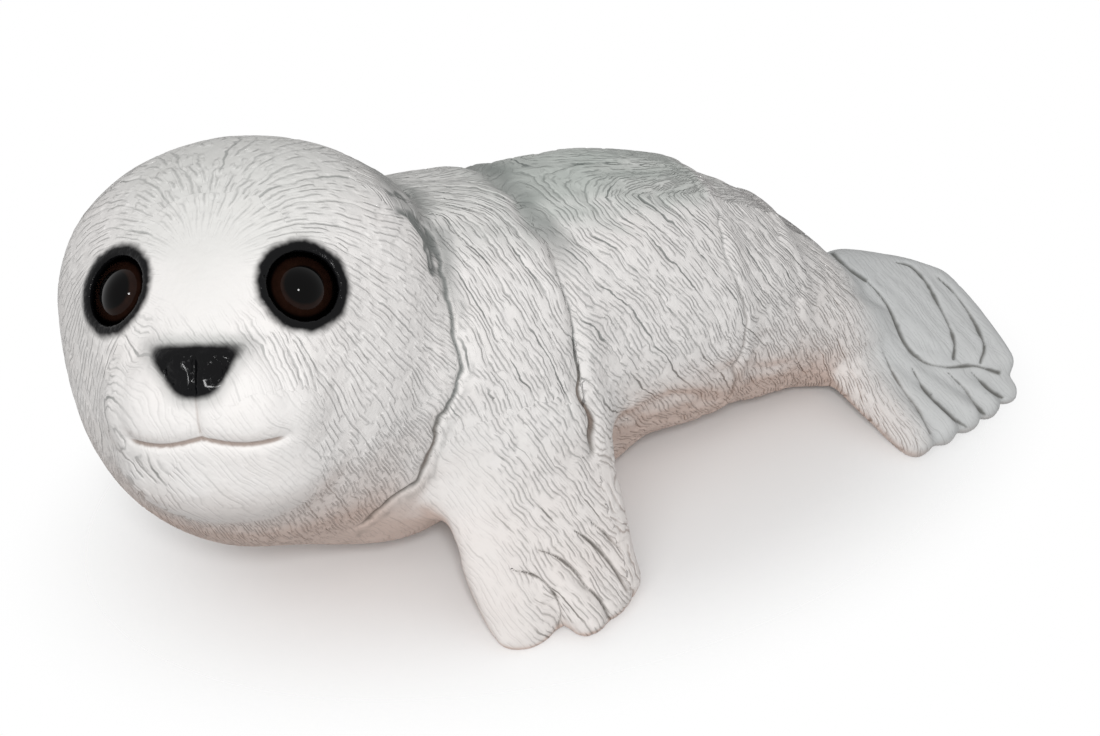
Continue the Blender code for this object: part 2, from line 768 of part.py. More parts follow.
def main():
    clear_scene()
    pup = collection("seal_pup")
    cutters = collection("cutters")
    resin = material("resin", RESIN_WHITE, 0.6)
    glass = material("eye_glass", EYE_BROWN, 0.05)
    body = add_body(pup, cutters, resin)
    for side, name in ((1, "left_eye"), (-1, "right_eye")):
        turned(name, eye_profile(0), eye_frame(side), pup, glass)
        socket = turned(name + "_socket", socket_profile(), eye_frame(side), cutters)
        cut(body, socket, name + " socket")


main()
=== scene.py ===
# %% [markdown]
# # A seal pup ornament in cast resin
#
# The real ornament is one casting of white resin with its fur carved into the mould, washed with thin
# grey and brown paint that stays in the hollows, and finished with two glass eyes. The solids come
# packed from the CAD model. This lesson gives them their fur, their paint and their light.

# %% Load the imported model
import math

import bmesh
import bpy
import numpy as np
from mathutils import Matrix, Vector


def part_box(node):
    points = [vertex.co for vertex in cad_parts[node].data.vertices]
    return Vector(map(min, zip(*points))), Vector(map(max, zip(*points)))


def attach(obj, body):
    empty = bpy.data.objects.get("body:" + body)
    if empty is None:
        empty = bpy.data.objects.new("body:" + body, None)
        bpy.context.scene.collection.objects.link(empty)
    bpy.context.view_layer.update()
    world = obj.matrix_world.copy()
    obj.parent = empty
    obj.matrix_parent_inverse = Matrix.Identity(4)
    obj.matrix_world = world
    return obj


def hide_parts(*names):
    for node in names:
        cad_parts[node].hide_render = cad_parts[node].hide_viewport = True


MM = 0.001

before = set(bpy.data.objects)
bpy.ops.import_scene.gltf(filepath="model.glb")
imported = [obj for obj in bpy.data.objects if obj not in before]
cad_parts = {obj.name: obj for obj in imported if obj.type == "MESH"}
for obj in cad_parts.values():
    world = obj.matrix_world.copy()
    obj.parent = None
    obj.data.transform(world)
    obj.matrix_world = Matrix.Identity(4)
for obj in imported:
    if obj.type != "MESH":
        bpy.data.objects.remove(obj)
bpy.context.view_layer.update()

# %% [markdown]
# ## The camera
#
# The photograph looks down on the pup's left side from close by, so the head is larger than the tail.
# A camera is a place, a point to look at and a focal length. Distance comes first, because it alone
# sets the perspective, and the lens then sets how much of the view the pup fills.

# %% Camera at the photograph's viewing angle
CAMERA_TARGET = Vector((15.5, -10.0, 38.3)) * MM
CAMERA_DISTANCE = 430 * MM
CAMERA_AZIMUTH = math.radians(62)
CAMERA_ELEVATION = math.radians(34)
CAMERA_LENS = 56.95

camera_back = Vector((
    math.sin(CAMERA_AZIMUTH) * math.cos(CAMERA_ELEVATION),
    -math.cos(CAMERA_AZIMUTH) * math.cos(CAMERA_ELEVATION),
    math.sin(CAMERA_ELEVATION),
))
camera = bpy.data.objects.new("camera", bpy.data.cameras.new("camera"))
camera.data.lens = CAMERA_LENS
camera.data.sensor_width = 36
camera.data.clip_start, camera.data.clip_end = 0.01, 20
camera.location = CAMERA_TARGET + camera_back * CAMERA_DISTANCE
camera.rotation_mode = "QUATERNION"
camera.rotation_quaternion = (-camera_back).to_track_quat("-Z", "Y")
bpy.context.scene.collection.objects.link(camera)
bpy.context.scene.camera = camera
print("Camera at", tuple(round(x, 4) for x in camera.location))

# %% [markdown]
# ## Where the face is
#
# Eyes, nose and mouth are painted and carved by their distance from a few points, so the face needs its
# own directions: to the pup's left, up to its crown, and ahead. The glass eyes are CAD nodes, and their
# boxes tell where each one sits.

# %% Directions and places of the face
HEAD_TURN, HEAD_LIFT, HEAD_TILT = (math.radians(angle) for angle in (57, 33, 4))
HEAD_CENTRE = Vector((10.5, -81.9, 65.0)) * MM

FACE_FORWARD = Vector((
    math.sin(HEAD_TURN) * math.cos(HEAD_LIFT),
    -math.cos(HEAD_TURN) * math.cos(HEAD_LIFT),
    math.sin(HEAD_LIFT),
))
LEVEL_LEFT = Vector((math.cos(HEAD_TURN), math.sin(HEAD_TURN), 0))
FACE_LEFT = Matrix.Rotation(HEAD_TILT, 3, FACE_FORWARD) @ LEVEL_LEFT
FACE_UP = FACE_FORWARD.cross(FACE_LEFT)


def face_place(left, up, forward):
    """A point in the head, from lengths in mm to the pup's left, to its crown and ahead."""
    return HEAD_CENTRE + (FACE_LEFT * left + FACE_UP * up + FACE_FORWARD * forward) * MM


HEAD_DEPTH, EYE_SPACING, EYE_RISE, EYE_STANDOFF = 85, 36.5, 10.5, 3.6
EYE_DIAMETER, EYE_DOME, EYE_BACK = 18, 6.5, 4.5


def eye_direction(side):
    """The way an eye looks, as lengths in mm along the face's left, up and forward directions."""
    left, reach = side * EYE_SPACING / 2, HEAD_DEPTH / 2
    return Vector((left, EYE_RISE, math.sqrt(reach**2 - left**2 - EYE_RISE**2))).normalized()


def eye_place(side):
    """The middle of the eye's rim, and the direction that it looks in."""
    way = eye_direction(side)
    centre = face_place(*(way * (HEAD_DEPTH / 2 + EYE_STANDOFF - EYE_DOME)))
    return centre, FACE_LEFT * way.x + FACE_UP * way.y + FACE_FORWARD * way.z


for side, name in ((1, "left_eye"), (-1, "right_eye")):
    low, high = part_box(name)
    off = (low + high) / 2 - eye_place(side)[0]
    print(name, "is", round(off.length / MM, 2), "mm from its computed rim")

# %% [markdown]
# ## Formulas in a material
#
# A procedural material is a formula, but its nodes hide that. One small class wraps a socket, so that
# sums and products of masks are written as Python, and one method adds every other kind of node.

# %% A socket that does sums, and a finish that makes nodes
class Value:
    """A number that changes over a surface. The usual operators add Math nodes."""

    def __init__(self, finish, socket):
        self.finish, self.socket = finish, socket

    def maths(self, operation, *values):
        """One Math node with these values or links."""
        node = self.finish.node("ShaderNodeMath", {"operation": operation}, *values)
        return Value(self.finish, node.outputs[0])

    def __add__(self, other):
        return self.maths("ADD", self, other)

    def __sub__(self, other):
        return self.maths("SUBTRACT", self, other)

    def __mul__(self, other):
        return self.maths("MULTIPLY", self, other)

    def __truediv__(self, other):
        return self.maths("DIVIDE", self, other)

    def __rsub__(self, other):
        return self.maths("SUBTRACT", other, self)

    __radd__, __rmul__ = __add__, __mul__

    def largest(self, other):
        return self.maths("MAXIMUM", self, other)

    def root(self):
        return self.maths("SQRT", self)

    def size(self):
        return self.maths("ABSOLUTE", self)

    def whole(self):
        return self.maths("ROUND", self)

    def ramp(self, start, end, low=0.0, high=1.0):
        """Goes smoothly from low at start to high at end, and stays there."""
        settings = {"interpolation_type": "SMOOTHSTEP"}
        node = self.finish.node("ShaderNodeMapRange", settings, self, start, end, low, high)
        return Value(self.finish, node.outputs[0])


class Finish:
    """A material for one finish, with the methods that add its nodes."""

    def __init__(self, name, **constants):
        self.material = bpy.data.materials.new(name)
        self.material.use_nodes = True
        self.nodes = self.material.node_tree.nodes
        self.links = self.material.node_tree.links
        self.shader = self.nodes["Principled BSDF"]
        for socket, value in constants.items():
            self.shader.inputs[socket.replace("_", " ")].default_value = value
        self.place = self.node("ShaderNodeTexCoord").outputs["Object"]

    def node(self, kind, settings=None, *values, **named):
        """A node of any kind. Settings come first, then the values or links of its sockets."""
        made = self.nodes.new(kind)
        for name, value in (settings or {}).items():
            setattr(made, name, value)
        inputs = {**dict(enumerate(values)), **named}
        for key, value in inputs.items():
            socket = made.inputs[key.replace("_", " ") if isinstance(key, str) else key]
            self.feed(socket, value)
        return made

    def feed(self, socket, value):
        """Links a socket to a value, or sets its number. None leaves it alone."""
        value = value.socket if isinstance(value, Value) else value
        if isinstance(value, bpy.types.NodeSocket):
            self.links.new(value, socket)
        elif value is not None:
            socket.default_value = value

    def mix(self, share, a, b):
        """Colour a where share is 0, and colour b where it is 1."""
        values = [None] * 8
        values[0], values[6], values[7] = share, a, b
        return self.node("ShaderNodeMix", {"data_type": "RGBA"}, *values).outputs[2]

    def noise(self, size, detail=2.0, roughness=0.5, place=None):
        """Clouds with features of one size in mm, from 0 to 1."""
        node = self.node(
            "ShaderNodeTexNoise", None, Vector=place or self.place,
            Scale=1 / (size * MM), Detail=detail, Roughness=roughness,
        )
        return Value(self, node.outputs[0])

    def along(self, direction, point):
        """How far in mm each place is past a point in a direction."""
        off = self.node("ShaderNodeVectorMath", {"operation": "SUBTRACT"}, self.place, tuple(point))
        dot = self.node("ShaderNodeVectorMath", {"operation": "DOT_PRODUCT"}, off.outputs[0], direction)
        return Value(self, dot.outputs["Value"]) / MM

    def from_axis(self, point, direction):
        """How far in mm each place is from a line through a point."""
        off = self.node("ShaderNodeVectorMath", {"operation": "SUBTRACT"}, self.place, tuple(point))
        cross = self.node("ShaderNodeVectorMath", {"operation": "CROSS_PRODUCT"}, off.outputs[0], direction)
        length = self.node("ShaderNodeVectorMath", {"operation": "LENGTH"}, cross.outputs[0])
        return Value(self, length.outputs["Value"]) / MM

    def carried(self, name):
        """A number that the mesh carries at each vertex."""
        node = self.node("ShaderNodeAttribute", {"attribute_name": name})
        return Value(self, node.outputs["Fac"])

    def bump(self, height, depth):
        """Small relief: a height of 1 stands for this many mm."""
        return self.node(
            "ShaderNodeBump", None, Strength=1.0, Distance=depth * MM, Height=height,
        ).outputs[0]

    def wear(self, **sockets):
        """Feeds the shader's own sockets."""
        for name, value in sockets.items():
            self.feed(self.shader.inputs[name.replace("_", " ")], value)


print("Material helpers are ready")

# %% [markdown]
# ## The skin before it is carved
#
# The CAD body has the pup's whole shape in about eleven thousand triangles. Its facets are rounded with
# a subdivision surface, and a voxel remesh then gives one even skin with enough vertices to carve hair
# in. The CAD node itself isn't touched: a copy of its mesh is merged and worked on.

# %% An even skin from the CAD body
def evaluated(obj, name):
    """The object's mesh with its modifiers worked in."""
    graph = bpy.context.evaluated_depsgraph_get()
    mesh = bpy.data.meshes.new_from_object(obj.evaluated_get(graph))
    mesh.name = name
    return mesh


def with_modifier(mesh, kind, **settings):
    """The mesh after one modifier."""
    holder = bpy.data.objects.new("holder", mesh)
    bpy.context.scene.collection.objects.link(holder)
    modifier = holder.modifiers.new("step", kind)
    for name, value in settings.items():
        setattr(modifier, name, value)
    made = evaluated(holder, mesh.name)
    bpy.data.objects.remove(holder)
    return made


SKIN_VOXEL = 0.45 * MM
SMOOTHING_ROUNDS = 4

copy = bmesh.new()
copy.from_mesh(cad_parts["body"].data)
bmesh.ops.remove_doubles(copy, verts=copy.verts, dist=0.01 * MM)
skin = bpy.data.meshes.new("pup_skin")
copy.to_mesh(skin)
copy.free()
if "sharp_face" in skin.attributes:
    skin.attributes.remove(skin.attributes["sharp_face"])
skin = with_modifier(skin, "SUBSURF", levels=2, render_levels=2)
skin = with_modifier(skin, "REMESH", mode="VOXEL", voxel_size=SKIN_VOXEL)
print("Skin:", len(skin.vertices), "vertices")


def places(mesh):
    """The vertices of a mesh, one row each."""
    points = np.empty(len(mesh.vertices) * 3)
    mesh.vertices.foreach_get("co", points)
    return points.reshape(-1, 3)


def directions(mesh):
    """The way that the surface faces at each vertex."""
    normals = np.empty(len(mesh.vertices) * 3)
    mesh.vertex_normals.foreach_get("vector", normals)
    return normals.reshape(-1, 3)


def set_places(mesh, points):
    """Moves the vertices of a mesh."""
    mesh.vertices.foreach_set("co", points.ravel())
    mesh.update()


class Neighbours:
    """Averages a value over the vertices that share an edge."""

    def __init__(self, mesh):
        ends = np.empty(len(mesh.edges) * 2, np.int32)
        mesh.edges.foreach_get("vertices", ends)
        self.a, self.b = ends[::2], ends[1::2]
        self.count = len(mesh.vertices)
        self.near = np.bincount(ends, minlength=self.count)

    def average(self, values):
        """Each vertex's new value, from the vertices beside it."""
        if values.ndim == 2:
            return np.stack([self.average(column) for column in values.T], axis=1)
        total = np.bincount(self.a, values[self.b], self.count)
        return (total + np.bincount(self.b, values[self.a], self.count)) / self.near


points = places(skin)
around = Neighbours(skin)
for _ in range(SMOOTHING_ROUNDS):
    points = around.average(points)
set_places(skin, points)

# %% [markdown]
# ## How the hair lies
#
# Carved fur looks right when its strokes follow the animal. Lines that run along the hair are the level
# lines of some length that is measured across it, so each region of the skin gets such a length. On the
# neck and the trunk it falls back and down from the spine, on the fore flippers it is flat, and on the
# head the lines fan out from the brow like spokes. Spokes drift apart, so their number doubles each
# time that they have drifted twice as far. A slant is how much closer the fall brings the lines.

# %% Lengths across the hair
TORSO_LENGTH, TORSO_WIDTH, TORSO_HEIGHT = 152, 82, 82
SHOULDER, HIP, RUMP = -15.2, 35.7, 58.5
NECK_FALL, TRUNK_FALL, FALL_GAIN = 2.3, 1.2, 1.2
NECK_SLANT, TRUNK_SLANT = 2.3, 1.8
SPINE_WIDTH = 12
HAIR_SPACING = 1.15
HAIRS_IN_A_LOCK = 4
SPOKES = 64
SPOKE_START = 10
HEAD_EDGE = (45, 48)
WAVE_LENGTH, WAVE_HEIGHT = 26, 1.3
FORE_ACROSS = Vector((0.065, 0.857, 0.511)).normalized()
BROW = FACE_UP * 0.29 + FACE_FORWARD * 0.957
SPOKE_BEND = 0.6
BROW_SIDE = BROW.cross(FACE_LEFT)


def fade(values, start, end):
    """0 up to start, 1 from end on, and smooth between them."""
    t = np.clip((values - start) / (end - start), 0, 1)
    return t * t * (3 - 2 * t)


def wave(points):
    """The slow wave, in mm, that keeps the folds and the hair from running dead straight."""
    x, y, z = points.T / MM * math.tau / WAVE_LENGTH
    swing = z + 1.7 * np.sin(x * 0.8)
    return WAVE_HEIGHT * (np.sin(swing) + 0.4 * np.sin(2.3 * swing + y))


def across_torso(points):
    """The length in mm across the hair of the neck, the trunk and the haunch."""
    x, y, z = points.T / MM
    from_spine = np.abs(np.arctan2(x, z - 0.45 * TORSO_HEIGHT)) * TORSO_WIDTH / 2
    past = (y - SHOULDER) / TORSO_LENGTH
    fallen = np.where(past < 0, NECK_FALL * past, TRUNK_FALL * past + FALL_GAIN * past**2)
    level = np.clip(from_spine / SPINE_WIDTH, 0, 1)
    slant = np.where(past < 0, NECK_SLANT, TRUNK_SLANT)
    return (from_spine - fallen * TORSO_LENGTH * level + 0.8 * wave(points)) / slant


points, normals = places(skin), directions(skin)
smooth_normals = normals.copy()
for _ in range(6):
    smooth_normals = around.average(smooth_normals)

face_ways = np.array([list(FACE_LEFT), list(FACE_UP), list(FACE_FORWARD)])
off_head = (points - np.array(HEAD_CENTRE)) / MM
face_left, face_up, face_ahead = (off_head @ face_ways.T).T
off_centre = np.linalg.norm(off_head, axis=1)
x, y, z = points.T / MM
head = 1 - fade(off_centre, *HEAD_EDGE)
fore = fade(np.abs(x) + 0.35 * (60 - z), 44, 52) * (1 - fade(y, SHOULDER - 3, SHOULDER + 4))
fore = fore * (1 - head)
hind = fade(y, 74, 90)
print("Vertices on the head:", int((head > 0.5).sum()), "and on the fore flippers:", int((fore > 0.5).sum()))

# %% [markdown]
# ## Carving the fur
#
# A seeded table of random numbers, smoothed between its cells, gives clouds of any size. They bend the
# lines and make them start and stop. Every fourth line is the edge of a lock and is cut into the skin.
# Single hairs are finer than the skin's vertices, so they come later, as bump in the paint. The folds
# between the masses, the creases between the toes and the lines of the face are cut as well.

# %% Smooth random clouds, and lines
GRAIN_CELLS = 64
GRAIN = np.random.default_rng(11).standard_normal((GRAIN_CELLS, GRAIN_CELLS, GRAIN_CELLS))
CLOUD_SHIFT = 17.3


def clouds(size, shift):
    """Smooth random values, about -1 to 1, with features of one size in mm."""
    place = points / (size * MM) + shift * CLOUD_SHIFT
    cell = np.floor(place).astype(np.int64)
    t = place - cell
    t = t * t * (3 - 2 * t)
    total = np.zeros(len(points))
    for corner in range(8):
        step = np.array((corner >> 2 & 1, corner >> 1 & 1, corner & 1))
        share = np.prod(np.where(step, t, 1 - t), axis=1)
        i, j, k = ((cell + step) % GRAIN_CELLS).T
        total += share * GRAIN[i, j, k]
    return total


def line(values, width):
    """1 in the middle of a crease, falling to 0 beside it."""
    return np.exp(-(values / width) ** 2)


def off_lock(turns, spacing):
    """How far in mm each place is from the nearest edge of a lock, from a count of hairs."""
    locks = turns / HAIRS_IN_A_LOCK
    return np.abs(locks - np.round(locks)) * spacing * HAIRS_IN_A_LOCK


kink = 0.7 * clouds(8, 1) + 0.32 * clouds(3, 2) + 0.12 * clouds(1.4, 3)
mirrored = np.abs(points * (1, 0, 0)) + points * (0, 1, 1)
torso_across = across_torso(points) + kink
fore_across = mirrored @ np.array(FORE_ACROSS) / MM + kink
spoke_left, spoke_up = face_left, off_head @ np.array(BROW_SIDE)
spoke_reach = np.maximum(np.hypot(spoke_left, spoke_up), 1)
ring_edge = np.maximum(spoke_reach + 1.5 * clouds(5, 4), SPOKE_START) / SPOKE_START
spokes = SPOKES * 2.0 ** np.floor(np.log2(ring_edge))
bend = SPOKE_BEND * fade(spoke_reach, 5, 50) * spoke_left / spoke_reach
spoke_turn = (np.arctan2(spoke_up, spoke_left) + bend + kink / (spoke_reach + 8)) / math.tau
torso_lock = off_lock(torso_across / HAIR_SPACING, HAIR_SPACING)
fore_lock = off_lock(fore_across / HAIR_SPACING, HAIR_SPACING)
head_lock = off_lock(spoke_turn * spokes, spoke_reach * math.tau / spokes)
lock_gap = np.where(head > 0.5, head_lock, np.where(fore > 0.5, fore_lock, torso_lock))
print("Hair lies along", SPOKES, "spokes on the head, and", HAIR_SPACING, "mm apart elsewhere")

# %% [markdown]
# ## Where the toes part
#
# The creases between the toes are seen well from the camera, so each is a bent line in the picture's
# own pixels, measured from its top left corner. Every vertex is looked up in the same picture. The far
# fore flipper is the mirror of the near one, so it is looked up as the near one.

# %% Creases between the toes
PICTURE_WIDTH, PICTURE_HEIGHT = 1100, 736
PIXELS_PER_MM = 4.6
FORE_TOE_CREASES = (
    ((592, 522), (603, 531), (615, 543), (627, 556), (637, 572)),
    ((574, 530), (590, 541), (605, 556), (618, 573), (628, 590)),
    ((538, 550), (556, 556), (572, 568), (586, 586), (600, 600), (612, 622)),
    ((512, 570), (530, 574), (545, 583), (555, 597), (560, 612), (559, 626)),
)
HIND_TOE_CREASES = (
    ((797, 218), (815, 235), (832, 252), (850, 268), (867, 280)),
    ((897, 262), (912, 266), (926, 281), (938, 302), (948, 322), (955, 342), (954, 358)),
    ((938, 277), (952, 290), (966, 308), (978, 328), (985, 346), (981, 363)),
    (
        (867, 280), (880, 294), (892, 312), (903, 338), (912, 352),
        (927, 363), (947, 367), (973, 366), (1000, 373),
    ),
    ((884, 352), (893, 372), (905, 392), (920, 412), (931, 433)),
    ((912, 367), (922, 385), (938, 402), (955, 418), (967, 428)),
    ((947, 371), (962, 386), (974, 401), (985, 415)),
    ((972, 372), (986, 385), (1003, 398)),
)


def seen_at(spots):
    """Where the camera sees each spot, in pixels from the picture's top left corner."""
    off = spots - np.array(camera.location)
    right = Vector((math.cos(CAMERA_AZIMUTH), math.sin(CAMERA_AZIMUTH), 0))
    rise = camera_back.cross(right)
    scale = CAMERA_LENS / camera.data.sensor_width * PICTURE_WIDTH / -(off @ np.array(camera_back))
    seen = off @ np.array([list(right), list(-rise)]).T * scale[:, None]
    return seen + (PICTURE_WIDTH / 2, PICTURE_HEIGHT / 2)


def rounded(corners, steps=5):
    """A bent line through some corners, with its bends rounded."""
    corners = np.array(corners, float)
    before = np.vstack([2 * corners[0] - corners[1], corners[:-2]])
    after = np.vstack([corners[2:], 2 * corners[-1] - corners[-2]])
    made = [corners[:1]]
    for p, a, b, q in zip(before, corners[:-1], corners[1:], after):
        t = np.arange(1, steps + 1)[:, None] / steps
        linear, square, cube = (b - p) / 2, p - 2.5 * a + 2 * b - q / 2, 1.5 * (a - b) + (q - p) / 2
        made.append(a + t * (linear + t * (square + t * cube)))
    return np.vstack(made)


def gap_to_paths(pixels, paths):
    """How far in mm each place looks from the nearest of some bent lines, which start thin."""
    gap = np.full(len(pixels), np.inf)
    for path in paths:
        path = rounded(path)
        for index, (start, end) in enumerate(zip(path[:-1], path[1:])):
            way = end - start
            share = np.clip((pixels - start) @ way / (way @ way), 0, 1)
            width = min(1, 0.35 + 2 * index / len(path))
            off = np.linalg.norm(pixels - start - share[:, None] * way, axis=1)
            gap = np.minimum(gap, off / width)
    return gap / PIXELS_PER_MM


toes = np.zeros(len(points))
nearer = np.stack([np.sign(x), np.ones(len(x)), np.ones(len(x))], axis=1)
for share, paths, turn in ((fore, FORE_TOE_CREASES, nearer), (hind, HIND_TOE_CREASES, 1)):
    gap = gap_to_paths(seen_at(points * turn), paths) + 0.3 * np.abs(kink)
    facing = fade((normals * turn) @ np.array(camera_back), 0, 0.25)
    toes = np.maximum(toes, share * facing * line(gap, 0.5))
print("Creases between toes:", len(FORE_TOE_CREASES + HIND_TOE_CREASES))

# %% [markdown]
# ## How deep everything is cut
#
# Hair is calm on the muzzle, the brow and the lids, and the locks are shallow on the flippers. Where
# several creases meet, the deepest one counts, so they run into each other without a step. Each vertex
# then goes in along its own normal.

# %% Where the hair is calm, and how deep the locks are
LOCK_DEPTH, LOCK_WIDTH = 0.42, 0.42
SHALLOWER = {"head": 0.20, "fore": 0.12, "hind": 0.32}
GRAIN_DEPTH = 0.10

front = fade(face_ahead, 15, 25)
muzzle = front * (1 - fade(np.hypot(face_left / 20, (face_up + 12) / 15), 0.75, 1.1))
lids = np.zeros(len(points))
for side in (-1, 1):
    centre, way = eye_place(side)
    gap = np.linalg.norm(np.cross(points - np.array(centre), np.array(way)), axis=1) / MM
    lids = np.maximum(lids, front * (1 - fade(gap, 9, 12)))
leading = 0.7 * fore * (1 - fade(y, -46, -36))
brow = front * (1 - fade(spoke_reach, 7, 20))
calm = np.maximum.reduce([lids, 0.75 * muzzle, brow, leading])
loose = (1 - calm) * fade(z, 0.4, 3)

broken = fade(clouds(6, 5) + 0.5 * clouds(2.5, 6), -0.9, 0.3)
shallower = SHALLOWER["head"] * head + SHALLOWER["fore"] * fore + SHALLOWER["hind"] * hind
furrow = (LOCK_DEPTH - shallower) * broken * line(lock_gap, LOCK_WIDTH) * loose
furrow += GRAIN_DEPTH * loose * (1 - 0.7 * hind) * clouds(1.8, 7)
print("Deepest lock crease:", round(furrow.max(), 2), "mm")

# %% Folds between the masses, and the painted shade behind the head and the shoulder
NECK_WAY = Vector((-6, 50, -17)).normalized()
NECK_START, NECK_REACH = 28.9, 46.6
TORSO_AXIS_HEIGHT = 36
FOLDS = ((SHOULDER, 1.0, 50), (HIP, 0.5, 44), (RUMP, 0.3, 36))

neck_off = off_head @ np.array(NECK_WAY) - NECK_START
off_floor = fade(z, 4, 10)
jag = wave(points) + 0.7 * kink
behind_head = fade(neck_off, -16, -10)
neck_gap = off_centre - NECK_REACH + 0.6 * jag + 0.5 * kink
fold = 0.75 * behind_head * off_floor * line(neck_gap, 0.6)
for place, share, reach in FOLDS:
    near = 1 - fade(np.hypot(x, z - TORSO_AXIS_HEIGHT), reach - 7, reach)
    wide = 0.5 + 0.7 * (1 - fade(z, 32, 52)) * share
    fold = np.maximum(fold, share * near * off_floor * line(y + jag - place, wide))
fold = np.maximum(fold, 0.85 * toes)
# Painted shade: a dark band under the head's back edge, a second dark line behind the head, and a band under
# the trunk's raised front edge.
shade = np.maximum.reduce([
    behind_head * (1 - fade(neck_gap, 1, 4)) * fade(neck_gap, -1, 1) * fade(z, 70, 84),
    0.7 * behind_head * off_floor * line(neck_gap - 2.4 + kink, 0.45),
    line(y + jag - SHOULDER - 2, 4) * fade(z, 70, 80),
])
print("Folds between masses:", len(FOLDS), "and one crease behind the head")

# %% Lines of the mouth and the nose, and the cut
MOUTH_HALF, MOUTH_DROP, LIP_BOW = 17, 19, 1.5
NOSE_DROP = 5.4
FACE_DEPTH = 0.7

share_aside = np.clip(face_left / MOUTH_HALF, -1, 1)
lip = face_up + MOUTH_DROP + LIP_BOW * np.abs(np.sin(math.pi * share_aside))
corner = 1 - fade(np.abs(face_left), MOUTH_HALF - 3, MOUTH_HALF + 1)
parting = line(face_left, 0.5) * fade(face_up, -MOUTH_DROP, -MOUTH_DROP + 1)
parting *= 1 - fade(face_up, -11, -9)
mouth = front * np.maximum(line(lip, 0.6) * corner, 0.6 * parting)
nose_side, nose_up = np.abs(face_left), face_up + NOSE_DROP
cleft = line(nose_side, 0.45) * fade(nose_up, -5.5, -4.5) * (1 - fade(nose_up, 2, 3.5))
nostril = line(np.hypot(nose_side - 4.3, nose_up / 1.25) - 1.7, 0.45) * fade(nose_side, 3.4, 4.6)
face_lines = FACE_DEPTH * np.maximum.reduce([mouth, front * cleft, front * nostril])
depth = np.maximum.reduce([furrow, fold, face_lines])
set_places(skin, points - normals * depth[:, None] * MM)
print("Deepest cut:", round(depth.max(), 2), "mm")

# %% [markdown]
# ## Thinning the skin out
#
# An even skin spends as many triangles on the flat underside as on the sharpest crease. The Decimate
# modifier takes them away where they matter least, so that the piece stays under its limit. Before
# that, each vertex is given the numbers that the paint will ask for, and they ride along.

# %% Numbers for the paint, and fewer triangles where the skin is plain
SKIN_TRIANGLES = 190000
HOLLOW_ROUNDS = 24

# How hollow each place is. The paint darkens hollows with wash and painted shade.
hollow_points = points.copy()
for _ in range(HOLLOW_ROUNDS):
    hollow_points = around.average(hollow_points)
carried = {
    "across": torso_across,
    "kink": kink,
    "head": head,
    "fore": fore,
    "hind": hind,
    "calm": calm,
    "broken": broken,
    "fold": fold,
    "shade": shade,
    "mouth": mouth,
    "hollow": ((hollow_points - points) * normals).sum(axis=1) / MM,
    "upward": smooth_normals[:, 2],
}
for name, values in carried.items():
    skin.attributes.new(name, "FLOAT", "POINT").data.foreach_set("value", values.astype(np.float32))
skin.shade_smooth()
skin = with_modifier(skin, "DECIMATE", ratio=min(1, SKIN_TRIANGLES / (2 * len(skin.polygons))))
print("Thinned skin:", len(skin.polygons), "triangles")

# %% [markdown]
# ## The resin's paint
#
# The casting is matt white. Grey-green wash lies in the creases of the back, and a pinkish brown in
# those of the throat, the belly and the lower edges; in the folds and hollows painted shade darkens it
# further. Painted shade also darkens the top of the back green and the underside pink, with a painted
# warm reflection there. The nose and the lids are sprayed black with soft edges and then varnished.
# First come the lengths and the masks that all of this is drawn from.

# %% Painted resin: where everything lies
WHITE = (0.79, 0.77, 0.755, 1)
BLUISH_WHITE = (0.54, 0.565, 0.57, 1)
# The green is painted shade on the top of the back.
GREEN_TOP_SHADE = (0.50, 0.535, 0.505, 1)
# The pink is painted shade and a painted warm reflection low down and under the body.
PINK_SHADE_AND_REFLECTION = (0.62, 0.50, 0.445, 1)
# The wash colours also give the painted shade in the folds, the hollows and behind the head and the
# shoulder.
GREY_WASH_AND_SHADE = (0.10, 0.115, 0.11, 1)
BROWN_WASH_AND_SHADE = (0.17, 0.095, 0.06, 1)
VARNISHED_BLACK = (0.003, 0.003, 0.0035, 1)

resin = Finish("painted_resin", Specular_IOR_Level=0.05, Coat_IOR=1.18, Coat_Roughness=0.10)
left = resin.along(FACE_LEFT, HEAD_CENTRE)
up = resin.along(FACE_UP, HEAD_CENTRE)
ahead = resin.along(FACE_FORWARD, HEAD_CENTRE)
height = resin.along((0, 0, 1), (0, 0, 0))
tailward = resin.along((0, 1, 0), (0, 0, 0))
in_front = ahead.ramp(18, 26)
on_head, on_fore, on_hind = (resin.carried(name) for name in ("head", "fore", "hind"))
upward = resin.carried("upward")
calm_share = resin.carried("calm")
print("Numbers carried to the paint:", ", ".join(carried))

# %% [markdown]
# ## Single hairs
#
# The lengths across the hair are worked out once more in nodes, because a hair is finer than the skin's
# vertices. A running count of hairs has a whole number at each hair, and the distance to the nearest
# whole number draws it. The number itself moves a noise aside, so every hair starts and stops by itself.

# %% Painted resin: single hairs
HAIR_RELIEF, PORE_RELIEF, SWELL_RELIEF = 0.22, 0.05, 0.12

kink = resin.carried("kink") + (resin.noise(1.6, 1) - 0.5) * 0.4
aside = resin.along((1, 0, 0), (0, 0, 0)).size()
flat_across = aside * FORE_ACROSS.x + tailward * FORE_ACROSS.y + height * FORE_ACROSS.z + kink
spoke_up = resin.along(BROW_SIDE, HEAD_CENTRE)
spoke_reach = (left * left + spoke_up * spoke_up).root().largest(1.0)
ring_edge = (spoke_reach + (resin.noise(5, 1) - 0.5) * 5).largest(SPOKE_START) / SPOKE_START
ring = ring_edge.maths("FLOOR", ring_edge.maths("LOGARITHM", ring_edge, 2.0))
spokes = ring.maths("POWER", 2.0, ring) * SPOKES
spoke_angle = spoke_up.maths("ARCTAN2", spoke_up, left)
bend = spoke_reach.ramp(5, 50) * SPOKE_BEND * left / spoke_reach
spoke_turn = (spoke_angle + bend + kink / (spoke_reach + 8)) / math.tau
is_head = on_head.maths("GREATER_THAN", on_head, 0.5)
